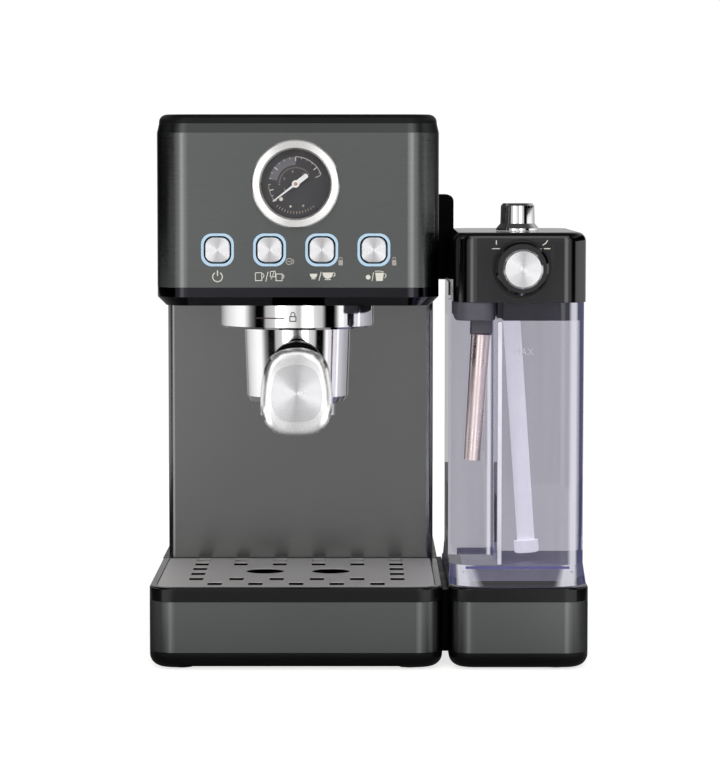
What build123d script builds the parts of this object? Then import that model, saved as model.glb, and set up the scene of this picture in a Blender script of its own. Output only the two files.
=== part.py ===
from build123d import *
import math
import os

# Pump espresso machine with a milk-frothing tank on its right side.
# Millimetres. +Z up, front towards -Y, user's right towards +X.
# Origin: middle of the footprint of the whole machine, on the worktop.

# ---------------------------------------------------------------- driving sizes
WIDTH = 247.0          # over both bases
DEPTH = 357.0          # handle tip to rear face
HEIGHT = 311.0
MAIN_WIDTH = 165.0     # main base
BASE_DEPTH = 285.0     # main base, without the handle
MILK_WIDTH = 78.5      # milk base
MILK_DEPTH = 168.0
CORNER = 15.0          # plan corner radius of the main base
BODY_WIDTH = 159.0     # column
BODY_SHIFT = 0.45      # column stands this far to the right of the base's middle
HEAD_WIDTH = 159.4
HEAD_SHIFT = 1.0
HEAD_CORNER = 18.0

Z_PAN = 1.0            # underside of the bottom pans
Z_BAND = 9.9           # top of the plastic band round the foot
Z_RIM = 38.7           # top of the brushed band, bottom of the black rim
Z_DECK = 46.8          # top of the rim
Z_HEAD = 203.6         # underside of the head
Z_PANEL = 213.9        # bottom of the brushed head panel
Z_TRIM = 300.7         # bottom of the sloping trim under the top cover
Z_COVER = 305.9        # underside of the top cover

HEAD_SETBACK = 20.0    # head front behind the base front
WALL_SETBACK = 132.0   # splash wall behind the base front
BAY_DEPTH = 60.5       # water tank bay at the rear
GROUP_SETBACK = 68.0   # group centre behind the base front

SHEET = 0.8            # brushed steel skins
WALL = 2.5             # moulded walls
PLAY = 0.3             # gap between bodies that move past each other

PITCH = 29.25          # between push buttons
BUTTON_Z = 235.1
GAUGE_Z = 272.0
BASKET_RADIUS = 25.5   # 51 mm filter basket
LOCK_TURN = 0.95       # degrees that the locked handle points to the right of straight ahead
CAP_ALLOWANCE = 0.2    # the turned cap's left edge stands this much forward of its middle

TANK_WALL = 3.0        # clear milk tank
TANK_CORNER = 14.0
LID_TOP = 245.0

# ---------------------------------------------------------------- places
LEFT = -WIDTH / 2
RIGHT = WIDTH / 2
REAR = DEPTH / 2
FRONT = REAR - BASE_DEPTH
MAIN_RIGHT = LEFT + MAIN_WIDTH
MAIN_X = (LEFT + MAIN_RIGHT) / 2
BODY_LEFT = MAIN_X + BODY_SHIFT - BODY_WIDTH / 2
BODY_RIGHT = MAIN_X + BODY_SHIFT + BODY_WIDTH / 2
HEAD_LEFT = MAIN_X + HEAD_SHIFT - HEAD_WIDTH / 2
HEAD_RIGHT = MAIN_X + HEAD_SHIFT + HEAD_WIDTH / 2
HEAD_FRONT = FRONT + HEAD_SETBACK
WALL_Y = FRONT + WALL_SETBACK
BAY_Y = REAR - BAY_DEPTH
GROUP_Y = FRONT + GROUP_SETBACK
TRAY_REAR = WALL_Y - PLAY
MILK_LEFT = RIGHT - MILK_WIDTH
MILK_REAR = FRONT + MILK_DEPTH

PUMP_Y = 76.0
SUCTION_TOP = (MAIN_X + 38.0, (BAY_Y + REAR) / 2)

# Milk tank and lid
TANK_LEFT = 46.0
TANK_RIGHT = 121.4
TANK_FRONT = FRONT + 12.0
TANK_REAR = 43.0
TANK_FOOT = 47.0       # underside of the tank's foot, a little above the deck
TANK_FLOOR = 56.0
TANK_TOP = 205.7
NOTCH_RIGHT = 72.0     # recess at the front left corner, where the milk spout hangs
NOTCH_REAR = -46.0
GRIP_TOP = 215.4       # the left wall stands higher behind the recess, as a grip
PORT_X = 71.0          # steam port between the machine and the lid
PORT_Z = 230.0
STEAM_BEND_Y = 62.0    # where the steam way turns from the head to the port
KNOB_X = 85.5
KNOB_Z = 225.0
LEVER_Y = -46.0
STRAW_X = 80.8
SPOUT_X = 63.9
SPOUT_Y = -72.0
SPOUT_Z = 191.5
SPOUT_TILT = 3.8
PIVOT_RADIUS = 3.9

NODES = {}


# ---------------------------------------------------------------- helpers
def plan(x0, x1, y0, y1, front=0.0, rear=0.0):
    """Flat outline between two corners, its front and rear corners rounded."""
    outline = Pos((x0 + x1) / 2, (y0 + y1) / 2) * Rectangle(x1 - x0, y1 - y0)
    if front:
        outline = fillet(outline.vertices().group_by(Axis.Y)[0], front)
    if rear:
        outline = fillet(outline.vertices().group_by(Axis.Y)[-1], rear)
    return outline


def block(x0, x1, y0, y1, z0, z1, front=0.0, rear=0.0):
    """Upright prism on such an outline."""
    return Pos(0, 0, z0) * extrude(plan(x0, x1, y0, y1, front, rear), amount=z1 - z0)


def disc(x, y, z0, z1, radius):
    """Upright cylinder."""
    return Pos(x, y, (z0 + z1) / 2) * Cylinder(radius, z1 - z0)


def rod_x(y, z, x0, x1, radius):
    """Cylinder along X."""
    return Pos((x0 + x1) / 2, y, z) * Rot(0, 90, 0) * Cylinder(radius, x1 - x0)


def rod_y(x, z, y0, y1, radius):
    """Cylinder along Y."""
    return Pos(x, (y0 + y1) / 2, z) * Rot(90, 0, 0) * Cylinder(radius, y1 - y0)


def turned(points, x, y):
    """Solid turned about the upright line at (x, y), from (radius, height) points."""
    outline = make_face(Plane.XZ * Polyline(*points, close=True))
    return Pos(x, y, 0) * revolve(outline, axis=Axis.Z)


def turned_y(points, x, z):
    """Solid turned about the line along Y at (x, z), from (radius, y) points."""
    outline = make_face(Plane.XZ * Polyline(*points, close=True))
    return Pos(x, 0, z) * Rot(-90, 0, 0) * revolve(outline, axis=Axis.Z)


def pad_y(x, z, y0, y1, width, height, corner):
    """Rounded rectangle in the front view, y0 to y1 deep."""
    face = RectangleRounded(width, height, corner)
    return Pos(x, y1, z) * Rot(90, 0, 0) * extrude(face, amount=y1 - y0)


def pipe(points, radius, bend, bore=0.0):
    """Round pipe or hose along straight runs joined by arcs."""
    path = FilletPolyline(*points, radius=bend)
    start = Plane(origin=path @ 0, z_dir=path % 0)
    section = start * Circle(radius)
    if bore:
        section -= start * Circle(bore)
    return sweep(section, path=path)


def bottom_edges(solid):
    return solid.edges().group_by(Axis.Z)[0]


def top_edges(solid):
    return solid.edges().group_by(Axis.Z)[-1]


def keep(name, solid):
    NODES[name] = solid


# ---------------------------------------------------------------- base
FOOT_RADIUS = 7.0
FOOT_INSET = 18.0
FOOT_TOP = 3.0
PAN_SKIN = 2.4


def foot_places():
    """Centres of the rubber feet: four under the main base, three under the milk base."""
    main_x = (LEFT + FOOT_INSET, MAIN_RIGHT - FOOT_INSET)
    main_y = (FRONT + FOOT_INSET, REAR - FOOT_INSET)
    main = [(x, y) for x in main_x for y in main_y]
    milk = [
        (RIGHT - FOOT_INSET, FRONT + FOOT_INSET),
        (RIGHT - FOOT_INSET, MILK_REAR - FOOT_INSET),
        (MILK_LEFT + FOOT_INSET, MILK_REAR - FOOT_INSET),
    ]
    return main, milk


def screw_places():
    """Centres of the case screws, inboard of each foot."""
    main, milk = foot_places()
    inward = 14.0
    middle_x = (MILK_LEFT + RIGHT) / 2
    middle_y = (FRONT + MILK_REAR) / 2
    places = []
    for x, y in main:
        places.append((x + math.copysign(inward, MAIN_X - x), y + math.copysign(inward, -y)))
    for x, y in milk:
        places.append((x + math.copysign(6.0, middle_x - x), y + math.copysign(inward, middle_y - y)))
    return places


def bottom_pan(x0, x1, y0, y1, corner, feet):
    """Moulded pan, open underneath, with a boss over each foot and screw."""
    edge_radius = 7.0
    wall = 10.0
    boss = 10.5
    pan = block(x0, x1, y0, y1, Z_PAN, Z_BAND, corner, corner)
    pan = fillet(bottom_edges(pan), edge_radius)
    hollow = block(x0 + wall, x1 - wall, y0 + wall, y1 - wall, 0, Z_BAND - PAN_SKIN, 6, 6)
    bosses = [disc(x, y, 0, Z_BAND, boss) for x, y in feet]
    screws = [(x, y) for x, y in screw_places() if x0 < x < x1 and y0 < y < y1]
    for x, y in screws:
        bosses.append(disc(x, y, 0, Z_BAND, 5.0))
    for part in bosses:
        hollow -= part
    pan -= hollow
    for x, y in feet:
        pan -= disc(x, y, 0, FOOT_TOP, FOOT_RADIUS)
    for x, y in screws:
        pan -= disc(x, y, 0, 4.0, 3.2)
        pan -= disc(x, y, 0, Z_BAND, 1.5)
    return pan


def make_base():
    main_feet, milk_feet = foot_places()

    pan = bottom_pan(LEFT, MAIN_RIGHT, FRONT, REAR, CORNER, main_feet)
    arch_right = 18.0
    arch_top = 4.8
    arch = block(LEFT + 17, arch_right, FRONT - 1, FRONT + 9.9, 0, arch_top)
    arch = fillet(arch.edges().filter_by(Axis.Y).group_by(Axis.Z)[-1], 3.0)
    pan -= arch
    keep("base_pan", pan)

    milk_pan = bottom_pan(MILK_LEFT, RIGHT, FRONT, MILK_REAR, TANK_CORNER, milk_feet)
    keep("milk_base_pan", milk_pan)

    feet = None
    for x, y in main_feet + milk_feet:
        foot = fillet(bottom_edges(disc(x, y, 0, FOOT_TOP, FOOT_RADIUS)), 0.6)
        feet = foot if feet is None else feet + foot
    keep("rubber_feet", feet)

    screws = None
    for x, y in screw_places():
        screw = disc(x, y, 2.2, 4.0, 2.9) + disc(x, y, 4.0, Z_BAND - 0.4, 1.5)
        slot = 0.9
        screw -= Pos(x, y, 2.2) * Box(4.2, slot, 1.6) + Pos(x, y, 2.2) * Box(slot, 4.2, 1.6)
        screws = screw if screws is None else screws + screw
    keep("case_screws", screws)

    # Fixed rear half of the main base: a black shell with a brushed skin let into it.
    y0 = WALL_Y + PLAY
    shell = block(LEFT, MAIN_RIGHT, y0, REAR, Z_BAND, Z_DECK, 0, CORNER)
    inset = SHEET
    core = block(LEFT + inset, MAIN_RIGHT - inset, y0, REAR - inset, Z_BAND, Z_RIM, 0, CORNER - inset)
    skin = block(LEFT, MAIN_RIGHT, y0, REAR, Z_BAND, Z_RIM, 0, CORNER) - core
    shell -= skin
    wall = inset + WALL
    shell -= block(
        LEFT + wall, MAIN_RIGHT - wall, y0 + WALL, REAR - wall, 0, Z_DECK - WALL, 0, CORNER - wall
    )
    for x, y in (SUCTION_TOP, (MAIN_X, PUMP_Y)):
        shell -= disc(x, y, Z_DECK - 5, Z_DECK + 1, 3.6)
    gland_x = LEFT + 38.0
    gland_z = 25.0
    gland_radius = 8.5
    shell -= rod_y(gland_x, gland_z, REAR - 12, REAR + 1, gland_radius)
    skin -= rod_y(gland_x, gland_z, REAR - 12, REAR + 1, gland_radius)
    keep("rear_base_shell", shell)
    keep("rear_base_skin", skin)

    flange = REAR - 9.0
    bore = 3.6
    gland = rod_y(gland_x, gland_z, flange, REAR, gland_radius)
    gland += rod_y(gland_x, gland_z, flange - 4.0, flange, gland_radius + 2)
    gland -= rod_y(gland_x, gland_z, flange - 5.0, REAR + 1, bore)
    mouth = [(0, REAR + 1), (0, REAR - 2), (bore, REAR - 2), (bore + 2.6, REAR + 1)]
    gland -= turned_y(mouth, gland_x, gland_z)
    keep("cord_gland", gland)

    # Milk base: rim and deck in one moulding over a brushed skin.
    deck_skirt = block(
        MILK_LEFT + SHEET, RIGHT - SHEET, FRONT + SHEET, MILK_REAR - SHEET,
        Z_BAND, Z_RIM, TANK_CORNER - SHEET, TANK_CORNER - SHEET,
    )
    deck = deck_skirt + block(MILK_LEFT, RIGHT, FRONT, MILK_REAR, Z_RIM, Z_DECK, TANK_CORNER, TANK_CORNER)
    wall = SHEET + WALL
    deck -= block(
        MILK_LEFT + wall, RIGHT - wall, FRONT + wall, MILK_REAR - wall,
        0, Z_DECK - WALL, TANK_CORNER - wall, TANK_CORNER - wall,
    )
    deck = fillet(top_edges(deck), 1.2)
    keep("milk_base_deck", deck)
    skin = block(MILK_LEFT, RIGHT, FRONT, MILK_REAR, Z_BAND, Z_RIM, TANK_CORNER, TANK_CORNER)
    keep("milk_base_skin", skin - deck_skirt)

    # Black web that ties the milk base to the main base.
    web_front = FRONT + 21.0
    web_rear = 60.0
    web_top = 43.0
    tie = block(MAIN_RIGHT, MILK_LEFT, web_front, web_rear, FOOT_TOP + 5.0, Z_BAND)
    tie += block(MAIN_RIGHT + 0.4, MILK_LEFT, web_front, y0, Z_BAND, web_top)
    tie += block(MAIN_RIGHT, MILK_LEFT, y0, web_rear, Z_BAND, web_top)
    keep("base_bridge", tie)


def make_tray():
    """Drip tray with its brushed front, which slides out, and the lift-off grid."""
    z0 = Z_BAND + 0.2
    rear = 3.0
    outer = block(LEFT, MAIN_RIGHT, FRONT, TRAY_REAR, z0, Z_DECK, CORNER, rear)
    x0, x1 = LEFT + SHEET, MAIN_RIGHT - SHEET
    core = block(x0, x1, FRONT + SHEET, TRAY_REAR, z0, Z_RIM, CORNER - SHEET, rear)
    cover = block(LEFT, MAIN_RIGHT, FRONT, TRAY_REAR, z0, Z_RIM, CORNER, rear) - core
    keep("drip_tray_cover", cover)
    pan = fillet(top_edges(outer), 1.2) - cover
    lip = 4.0
    ledge = 2.5
    ledge_z = 44.2
    side = lip + ledge
    pan -= block(
        LEFT + side, MAIN_RIGHT - side, FRONT + side, TRAY_REAR - side,
        z0 + 3.0, Z_DECK + 1, CORNER - side, rear,
    )
    pan -= block(
        LEFT + lip, MAIN_RIGHT - lip, FRONT + lip, TRAY_REAR - 2.0,
        ledge_z, Z_DECK + 1, CORNER - lip, 2.0,
    )
    keep("drip_tray_pan", pan)

    # Pressed steel grid: a plate with a turned-down edge, rows of slots and two round drains.
    gap = lip + PLAY
    x0, x1 = LEFT + gap, MAIN_RIGHT - gap
    y0, y1 = FRONT + gap, TRAY_REAR - 2.0 - PLAY
    z_low = ledge_z + 0.1
    grid = block(x0, x1, y0, y1, z_low, Z_DECK, CORNER - gap, 2.0)
    grid = fillet(top_edges(grid), 0.4)
    edge = 1.3
    sheet = 0.5
    grid -= block(x0 + edge, x1 - edge, y0 + edge, y1 - edge, 0, Z_DECK - sheet, CORNER - gap - edge, 1.0)
    step = 11.5
    slot_width, slot_depth = 8.2, 12.0
    drain_setback, drain_spread, drain_radius = 72.0, 19.1, 11.2
    odd_row = (-5, -3, -1, 1, 3, 5)
    rows = {
        18.3: (-4, -2, 0, 2, 4),
        38.6: odd_row,
        60.4: (-5, 5),
        81.8: (-5, 5),
        102.8: odd_row,
        120.6: odd_row,
    }
    for setback, places in rows.items():
        for place in places:
            slot = Box(slot_width, slot_depth, 20.0)
            slot = fillet(slot.edges().filter_by(Axis.Z), 1.0)
            grid -= Pos(MAIN_X + place * step, FRONT + setback, Z_DECK) * slot
    for side in (-1, 1):
        grid -= disc(MAIN_X + side * drain_spread, FRONT + drain_setback, 30, 60, drain_radius)
    keep("drip_grid", grid)


# ---------------------------------------------------------------- column and head
def gauge_hole(radius):
    return rod_y(MAIN_X, GAUGE_Z, HEAD_FRONT - 5, HEAD_FRONT + 5, radius)


def button_places():
    return [MAIN_X + PITCH * (i - 1.5) for i in range(4)]


def make_column():
    """Splash panel, the frame behind it, and the water tank bay at the rear."""
    thick = 1.0
    radius = 4.0
    panel = block(BODY_LEFT, BODY_RIGHT, WALL_Y, BAY_Y, Z_DECK, Z_HEAD, radius)
    panel -= block(
        BODY_LEFT + thick, BODY_RIGHT - thick, WALL_Y + thick, BAY_Y + 1, 0, 400, radius - thick
    )
    keep("splash_panel", panel)

    x0, x1 = BODY_LEFT + thick, BODY_RIGHT - thick
    y0 = WALL_Y + thick
    frame = block(x0, x1, y0, BAY_Y, Z_DECK, Z_HEAD, radius - thick)
    frame -= block(x0 + WALL, x1 - WALL, y0 + WALL, BAY_Y + 1, 0, 400, 0.4)
    shelf_z = 132.0
    shelf = block(x0 + WALL, x1 - WALL, y0 + WALL, BAY_Y, shelf_z, shelf_z + WALL)
    shelf -= disc(MAIN_X, PUMP_Y, 100, 200, 19.0)
    frame += shelf
    keep("column_frame", frame)

    cheek = 3.0
    cheek_rear = REAR - CORNER
    seat = Z_DECK + 9.0
    bay = block(BODY_LEFT, BODY_RIGHT, BAY_Y, REAR, Z_DECK, seat, 0, CORNER)
    bay += block(BODY_LEFT, BODY_RIGHT, BAY_Y, BAY_Y + WALL, seat, Z_COVER)
    bay += block(BODY_LEFT, BODY_LEFT + cheek, BAY_Y, cheek_rear, seat, Z_COVER)
    bay += block(BODY_RIGHT - cheek, BODY_RIGHT, BAY_Y, cheek_rear, seat, Z_COVER)
    bay -= disc(*SUCTION_TOP, Z_DECK - 1, seat + 1, 4.0)
    keep("tank_bay", bay)


def make_head():
    """Head: floor, brushed wrap, sloping trim and top cover."""
    radius = HEAD_CORNER
    x0, x1 = HEAD_LEFT, HEAD_RIGHT
    y0, y1 = HEAD_FRONT, BAY_Y
    floor = block(x0, x1, y0, y1, Z_HEAD, Z_PANEL, radius)
    front_and_sides = [e for e in bottom_edges(floor) if e.center().Y < y1 - 1.0]
    floor = chamfer(front_and_sides, 4.9)
    floor -= block(
        x0 + WALL, x1 - WALL, y0 + WALL, y1 - WALL, Z_HEAD + 5.5, Z_PANEL + 1, radius - WALL, 1.0
    )
    floor -= disc(MAIN_X, GROUP_Y, 190, 230, GROUP_NECK + 0.4)
    floor -= block(x0 + 12, x1 - 12, WALL_Y + 8, y1 - 6, 190, 230, 3, 3)
    keep("head_floor", floor)

    thick = 1.5
    wrap = block(x0, x1, y0, y1, Z_PANEL, Z_TRIM, radius)
    wrap -= block(x0 + thick, x1 - thick, y0 + thick, y1 + 1, 0, 400, radius - thick)
    wrap -= gauge_hole(22.0)
    for x in button_places():
        wrap -= pad_y(x, BUTTON_Z, HEAD_FRONT - 3, HEAD_FRONT + 5, 18.5, 18.5, 6.15)
    wrap -= rod_x(STEAM_BEND_Y, PORT_Z, x1 - 5, x1 + 5, 7.0)
    keep("head_wrap", wrap)

    slope = 1.2
    height = Z_COVER - Z_TRIM
    lean = math.degrees(math.atan(slope / height))
    trim = Pos(0, 0, Z_TRIM) * extrude(plan(x0, x1, y0, y1, radius), amount=height, taper=lean)
    rim = 7.0
    trim -= block(x0 + rim, x1 - rim, y0 + rim, y1 - rim, 0, 400, radius - rim, 2.0)
    keep("top_trim", trim)

    inset = slope
    cover = block(x0 + inset, x1 - inset, y0 + inset, y1 - 0.2, Z_COVER, HEIGHT, radius - inset)
    rounded = [e for e in top_edges(cover) if e.center().Y < y1 - 1.0]
    cover = fillet(rounded, 4.4)
    cover -= block(x0 + 8, x1 - 8, y0 + 8, y1 - 6, 0, HEIGHT - WALL, 8, 3)
    cover -= block(x0 + 16, x1 - 16, y0 + 16, y1 - 12, HEIGHT - 0.8, HEIGHT + 1, 8, 8)
    keep("top_cover", cover)


def make_gauge():
    """Pressure gauge set into the head: bezel, case, dial, lens and needle."""
    y = HEAD_FRONT
    bezel_points = [
        (19.4, y - 1.6), (20.3, y - 3.0), (24.0, y - 3.4), (24.7, y - 2.7), (24.7, y),
        (20.2, y), (20.2, y + 3.2), (19.4, y + 3.2),
    ]
    keep("gauge_bezel", turned_y(bezel_points, MAIN_X, GAUGE_Z))
    case_points = [(0, y + 26), (21.8, y + 26), (21.8, y), (20.3, y), (20.3, y + 24.4), (0, y + 24.4)]
    keep("gauge_case", turned_y(case_points, MAIN_X, GAUGE_Z))
    shaft = 0.9
    dial = rod_y(MAIN_X, GAUGE_Z, y + 5.4, y + 6.6, 20.2) - rod_y(MAIN_X, GAUGE_Z, y, y + 20, shaft + 0.05)
    keep("gauge_dial", dial)
    keep("gauge_lens", rod_y(MAIN_X, GAUGE_Z, y - 1.2, y, 19.3))

    # The needle lies at 37.5 degrees below the left horizontal, its tail opposite.
    blade_points = [(-16.0, -0.35), (0, -0.6), (0, 0.6), (-16.0, 0.35)]
    blade = extrude(make_face(Polyline(*blade_points, close=True)), amount=0.7)
    blade += extrude(Pos(4.2, 0) * RectangleRounded(8.4, 2.6, 1.0), amount=0.7)
    blade = Pos(MAIN_X, y + 3.6, GAUGE_Z) * Rot(0, -37.5, 0) * Rot(90, 0, 0) * blade
    needle = blade + rod_y(MAIN_X, GAUGE_Z, y + 2.4, y + 5.1, 2.1)
    needle += rod_y(MAIN_X, GAUGE_Z, y + 5.0, y + 14.0, shaft)
    keep("gauge_needle", needle)


def make_buttons():
    """Four push buttons in lit rings, with their switches on the control board."""
    y = HEAD_FRONT
    rings = None
    switches = None
    for number, x in enumerate(button_places(), start=1):
        cap = pad_y(x, BUTTON_Z, y - 1.1, y + 2.2, 13.9, 13.9, 4.8)
        cap = fillet(cap.faces().sort_by(Axis.Y)[0].edges(), 0.6)
        cap += rod_y(x, BUTTON_Z, y + 2.2, y + 8.0, 2.5)
        keep(f"button_{number}", cap)
        ring = pad_y(x, BUTTON_Z, y - 0.4, y + 3.6, 18.4, 18.4, 6.1)
        ring -= pad_y(x, BUTTON_Z, y - 1, y + 5, 15.6, 15.6, 5.4)
        rings = ring if rings is None else rings + ring
        switch = pad_y(x, BUTTON_Z, y + 10.6, y + 14.5, 7.0, 7.0, 0.5)
        switch += rod_y(x, BUTTON_Z, y + 9.9, y + 10.6, 1.75)
        switches = switch if switches is None else switches + switch
    keep("button_light_rings", rings)
    board = block(BODY_LEFT + 22, BODY_RIGHT - 22, y + 14.5, y + 16.1, BUTTON_Z - 12, BUTTON_Z + 11)
    keep("control_board", board + switches)


# ---------------------------------------------------------------- brewing parts
EAR_RADIUS = 35.8
GROUP_NECK = 42.0      # group ring, where it passes through the head's floor
BOILER_TOP = 248.0
BOILER_RADIUS = 27.0
RIM_Z = 200.0


def make_group():
    """Chrome group ring that holds the portafilter, its seal, screen and boiler."""
    outer = 44.1
    low = 189.8
    points = [
        (31.5, low), (outer - 1.2, low), (outer, low + 1.2), (outer, Z_HEAD - PLAY),
        (GROUP_NECK, Z_HEAD - PLAY), (GROUP_NECK, 214.0), (0, 214.0), (0, 208.0),
        (30.4, 208.0), (30.4, 200.5), (36.3, 200.5), (36.3, 195.2), (31.5, 195.2),
    ]
    group = turned(points, MAIN_X, GROUP_Y)
    group -= disc(MAIN_X, GROUP_Y, 200, 220, 2.5)
    ear_way = Box(2 * EAR_RADIUS + 1.2, 26.0, 8.0)
    group -= Pos(MAIN_X, GROUP_Y, low) * Rot(0, 0, -45) * (ear_way & Cylinder(36.3, 8.0))
    keep("group_ring", group)

    gasket = disc(MAIN_X, GROUP_Y, RIM_Z + 0.3, 208.0, 30.4) - disc(MAIN_X, GROUP_Y, 190, 220, 25.8)
    keep("group_gasket", gasket)

    screen = disc(MAIN_X, GROUP_Y, 202.6, 203.8, 25.6)
    screen += disc(MAIN_X, GROUP_Y, 203.8, 208.0, 5.0)
    for ring, count in ((9.0, 8), (15.0, 12), (21.0, 18)):
        for i in range(count):
            angle = math.radians(360.0 * i / count)
            x = MAIN_X + ring * math.cos(angle)
            y = GROUP_Y + ring * math.sin(angle)
            screen -= disc(x, y, 200, 205, 1.0)
    screen -= disc(MAIN_X, GROUP_Y, 205, 209, 2.5)
    keep("shower_screen", screen)

    boiler_points = [
        (0, 214.0), (33.0, 214.0), (33.0, 219.0), (BOILER_RADIUS, 219.0),
        (BOILER_RADIUS, 244.0), (23.0, BOILER_TOP),
        (0, BOILER_TOP), (0, 244.5), (21.5, 244.5), (23.5, 242.5), (23.5, 220.0), (0, 220.0),
    ]
    boiler = turned(boiler_points, MAIN_X, GROUP_Y)
    boiler -= disc(MAIN_X, GROUP_Y, 210, 222, 2.5)
    spread = 14.0
    tube = 3.2
    for side in (-1, 1):
        boiler -= disc(MAIN_X + side * spread, GROUP_Y, 240, 260, tube + 0.05)
    keep("boiler", boiler)
    left, right = MAIN_X - spread, MAIN_X + spread
    low, high = 226.0, BOILER_TOP + 8.0
    loop = [(left, GROUP_Y, high), (left, GROUP_Y, low), (right, GROUP_Y, low), (right, GROUP_Y, high)]
    keep("heating_element", pipe(loop, tube, 9.0))


def make_water_path():
    """Pump in the column, the hoses, the boards and the steam outlet on the right."""
    x, y = MAIN_X, PUMP_Y
    pump_low, pump_high = 62.0, 158.0
    pump = disc(x, y, pump_low, pump_high, 11.0) + disc(x, y, 104.0, 128.0, 17.0)
    coil = Pos(x, y, 86.0) * Box(42.0, 36.0, 34.0)
    pump += fillet(coil.edges().filter_by(Axis.Z), 3.0)
    keep("pump", pump)

    inlet_x, inlet_y = SUCTION_TOP
    low = 30.0
    suction = pipe(
        [(inlet_x, inlet_y, Z_DECK + 3.0), (inlet_x, inlet_y, low), (x, y, low), (x, y, pump_low)],
        3.4, 8.0, 2.0,
    )
    inlet = GROUP_Y + 14.0
    high = 264.0
    pressure = pipe(
        [(x, y, pump_high), (x, y, high), (x, inlet, high), (x, inlet, BOILER_TOP)], 2.4, 9.0, 1.2
    )
    keep("water_hoses", suction + pressure)

    # Steam outlet: a black block on the head's right side, its port facing the lid.
    root_top, arm_top = 265.0, 242.0
    root_right, arm_right = 51.6, 82.0
    root_rear, arm_rear = 92.0, 74.0
    front = TANK_REAR + 0.5
    coupler = block(HEAD_RIGHT, root_right, front, root_rear, Z_PANEL, root_top, 0.0, 5.0)
    coupler += block(root_right, arm_right, front, arm_rear, Z_PANEL, arm_top, 0.0, 6.0)
    coupler = fillet(coupler.edges().filter_by(Axis.Y).group_by(Axis.Z)[-1], 4.0)
    seal_radius, seal_depth = 8.0, 3.0
    coupler -= rod_y(PORT_X, PORT_Z, front - 1, front + seal_depth, seal_radius)
    coupler -= rod_y(PORT_X, PORT_Z, front, STEAM_BEND_Y + 2.6, 2.4)
    coupler -= rod_x(STEAM_BEND_Y, PORT_Z, HEAD_RIGHT - 1, PORT_X, 2.0)
    keep("steam_coupler", coupler)
    seal = rod_y(PORT_X, PORT_Z, front - 0.2, front + seal_depth, seal_radius)
    seal -= rod_y(PORT_X, PORT_Z, front - 2, front + 4, 3.0)
    keep("steam_seal", seal)
    outlet_z = 240.0
    turn_x = 14.0
    run = [
        (MAIN_X + BOILER_RADIUS, GROUP_Y, outlet_z), (turn_x, GROUP_Y, outlet_z),
        (turn_x, STEAM_BEND_Y, PORT_Z), (HEAD_RIGHT, STEAM_BEND_Y, PORT_Z),
    ]
    keep("steam_pipe", pipe(run, 3.0, 12.0, 1.6))


def cap_outline(width, height):
    """Soft oval of the handle's end, fuller at the bottom."""
    right = [
        (0.0, 0.5), (0.283, 0.447), (0.384, 0.379), (0.430, 0.310), (0.470, 0.172), (0.494, 0.035),
        (0.500, -0.104), (0.482, -0.242), (0.410, -0.383), (0.320, -0.455), (0.140, -0.496),
    ]
    left = [(-x, z) for x, z in right[:0:-1]]
    bottom = [(0.0, -0.5)]
    points = [(x * width, z * height) for x, z in right + bottom + left]
    return make_face(Spline(*points, periodic=True))


def cap_pad(x, z, y0, y1, width, height):
    return Pos(x, y1, z) * Rot(90, 0, 0) * extrude(cap_outline(width, height), amount=y1 - y0)


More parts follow.
